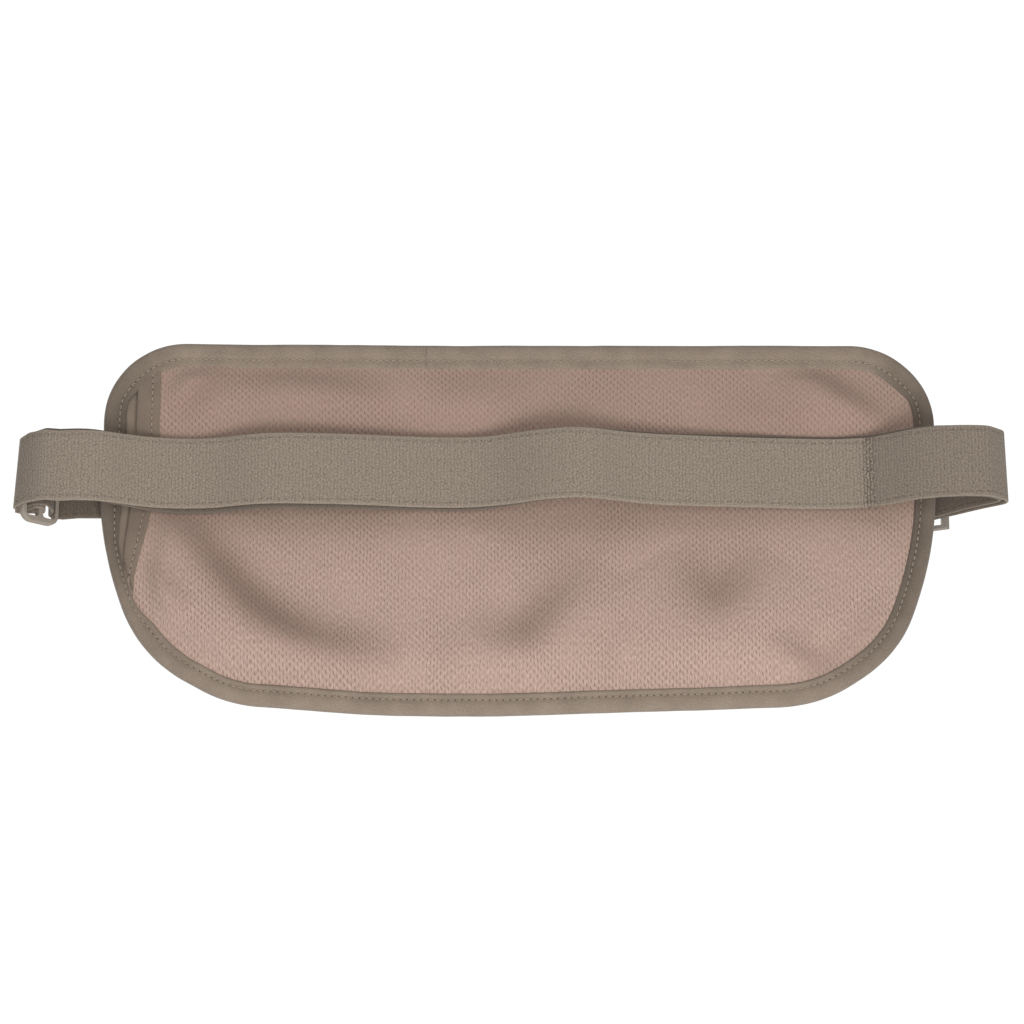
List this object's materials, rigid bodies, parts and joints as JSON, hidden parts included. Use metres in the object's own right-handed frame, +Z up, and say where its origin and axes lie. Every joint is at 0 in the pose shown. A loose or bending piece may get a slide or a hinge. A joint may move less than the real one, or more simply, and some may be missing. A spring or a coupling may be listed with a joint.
{
  "type": "money belt",
  "caption": "Flat zipped travel pouch with a mesh back and bound edge, worn on a doubled elastic waist strap with a tri-glide adjuster and a side-release buckle.",
  "frame": {"origin": "centre of the pouch, mid way through its thickness, where it sits on the waist", "axes": "+X along the belt, +Z up as worn, -Y towards the wearer's body"},
  "size_m": [0.3372, 0.0368, 0.1328],
  "materials": {
    "mesh": "soft birdseye knit mesh, matte",
    "binding": "plain woven nylon tape, matte",
    "webbing": "ribbed elastic webbing, matte",
    "shell_cloth": "ripstop nylon, slight sheen",
    "lining": "smooth woven nylon lining",
    "zip_tape": "herringbone polyester tape",
    "zip_coil": "nylon coil, satin",
    "zip_metal": "painted die-cast zinc, satin",
    "buckle_plastic": "moulded acetal, satin",
    "triglide_plastic": "moulded acetal, satin",
    "thread": "spun polyester thread"
  },
  "bodies": {
    "pouch": {"edge_binding": "binding", "back_mesh_panel": "mesh", "mesh_hem_tape": "binding", "lining_panel": "lining", "pocket_divider": "lining", "front_top_panel": "shell_cloth", "front_middle_panel": "shell_cloth", "front_lower_panel": "shell_cloth", "strap_front_outer": "webbing", "strap_front_inner": "webbing", "strap_anchor_run": "webbing", "strap_left_fold": "webbing", "strap_end_loop": "webbing", "strap_right_loop": "webbing", "strap_buckle_tab": "webbing", "buckle_female": "buckle_plastic", "upper_zip_tape_top": "zip_tape", "upper_zip_tape_bottom": "zip_tape", "upper_zip_coil_top": "zip_coil", "upper_zip_coil_bottom": "zip_coil", "upper_zip_closed_stop": "zip_metal", "upper_zip_open_stop": "zip_metal", "lower_zip_tape_top": "zip_tape", "lower_zip_tape_bottom": "zip_tape", "lower_zip_coil_top": "zip_coil", "lower_zip_coil_bottom": "zip_coil", "lower_zip_closed_stop": "zip_metal", "lower_zip_open_stop": "zip_metal"},
    "upper_slider": {"upper_zip_slider": "zip_metal"},
    "upper_pull": {"upper_zip_pull": "zip_metal"},
    "lower_slider": {"lower_zip_slider": "zip_metal"},
    "lower_pull": {"lower_zip_pull": "zip_metal"},
    "triglide": {"triglide_slider": "triglide_plastic"},
    "male": {"buckle_male": "buckle_plastic"},
    "prong_top": {"buckle_prong_top": "buckle_plastic"},
    "prong_bottom": {"buckle_prong_bottom": "buckle_plastic"}
  },
  "joints": [
    {"name": "upper_zip_slide", "type": "slide", "parent": "pouch", "child": "upper_slider", "axis": [1, 0, 0], "range_m": [0, 0.242]},
    {"name": "upper_pull_hinge", "type": "hinge", "parent": "upper_slider", "child": "upper_pull", "pos_m": [-0.121, 0.0051, 0.045], "axis": [0, 0, 1], "range_deg": [0, 170]},
    {"name": "lower_zip_slide", "type": "slide", "parent": "pouch", "child": "lower_slider", "axis": [1, 0, 0], "range_m": [0, 0.242]},
    {"name": "lower_pull_hinge", "type": "hinge", "parent": "lower_slider", "child": "lower_pull", "pos_m": [-0.121, 0.0051, -0.013], "axis": [0, 0, 1], "range_deg": [0, 170]},
    {"name": "triglide_slide", "type": "slide", "parent": "pouch", "child": "triglide", "axis": [0.766, 0.6428, 0], "range_m": [0, 0.006], "deforming": ["strap_left_fold", "strap_end_loop"]},
    {"name": "buckle_release", "type": "slide", "parent": "pouch", "child": "male", "axis": [1, 0, 0], "range_m": [0, 0.024], "deforming": ["strap_right_loop", "buckle_prong_top", "buckle_prong_bottom"]},
    {"name": "prong_top_squeeze", "type": "hinge", "parent": "male", "child": "prong_top", "pos_m": [0.1163, 0.0124, 0.0265], "axis": [0, -1, 0], "range_deg": [0, 12], "stiffness_Nm_per_rad": 0.3},
    {"name": "prong_bottom_squeeze", "type": "hinge", "parent": "male", "child": "prong_bottom", "pos_m": [0.1163, 0.0124, 0.0101], "axis": [0, 1, 0], "range_deg": [0, 12], "stiffness_Nm_per_rad": 0.3}
  ],
  "couplings": [
    {"joint": "prong_bottom_squeeze", "follows": "prong_top_squeeze", "ratio": 1}
  ]
}
